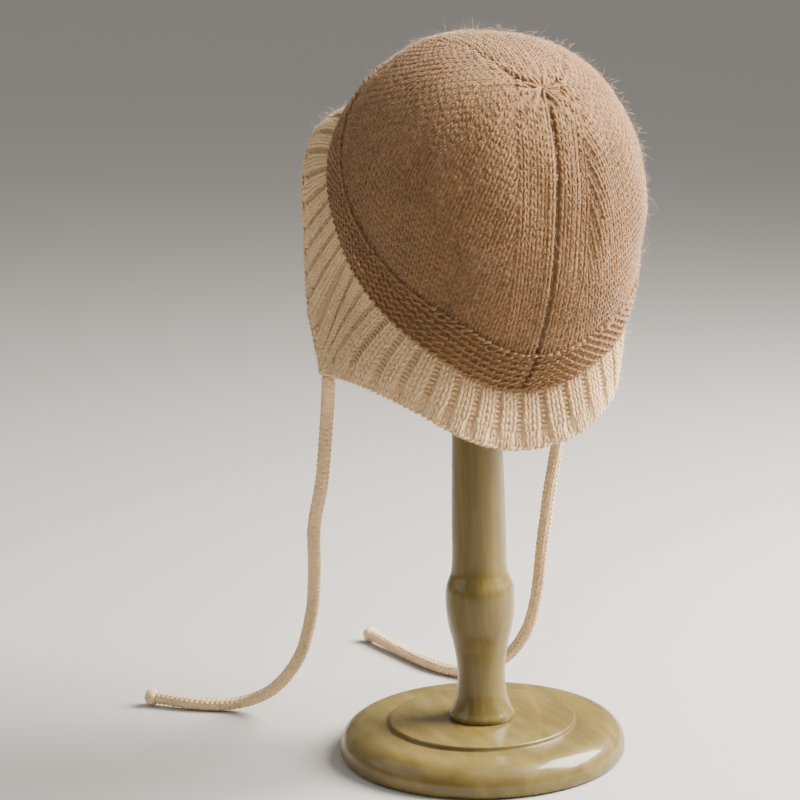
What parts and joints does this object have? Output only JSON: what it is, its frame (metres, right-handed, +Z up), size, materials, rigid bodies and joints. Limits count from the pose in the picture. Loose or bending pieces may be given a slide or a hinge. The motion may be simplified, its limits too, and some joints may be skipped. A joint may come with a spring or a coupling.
{
  "type": "knit earflap hat on a turned wooden stand",
  "caption": "Soft knit hat with a seamed crown, garter band, ribbed border with ear flaps and hanging ties, held up on a plain turned post with a round stepped base.",
  "frame": {"origin": "centre of the base's underside, on the axis of the post", "axes": "+Z up along the post; the hat's front faces -Y, its back +Y and the wearer's left is +X"},
  "size_m": [0.2405, 0.3404, 0.4223],
  "materials": {
    "brown_knit": "soft brushed wool knit, matt, with a short fuzz",
    "cream_knit": "soft ribbed wool knit, matt, with a short fuzz",
    "varnished_wood": "stained and varnished, semi-gloss, worn"
  },
  "bodies": {
    "root": {"crown": "brown_knit", "garter_band": "brown_knit", "rib_border": "cream_knit", "left_tie": "cream_knit", "left_tie_knob": "cream_knit", "right_tie": "cream_knit", "right_tie_knob": "cream_knit", "stand_base": "varnished_wood", "stand_post": "varnished_wood"}
  },
  "joints": []
}
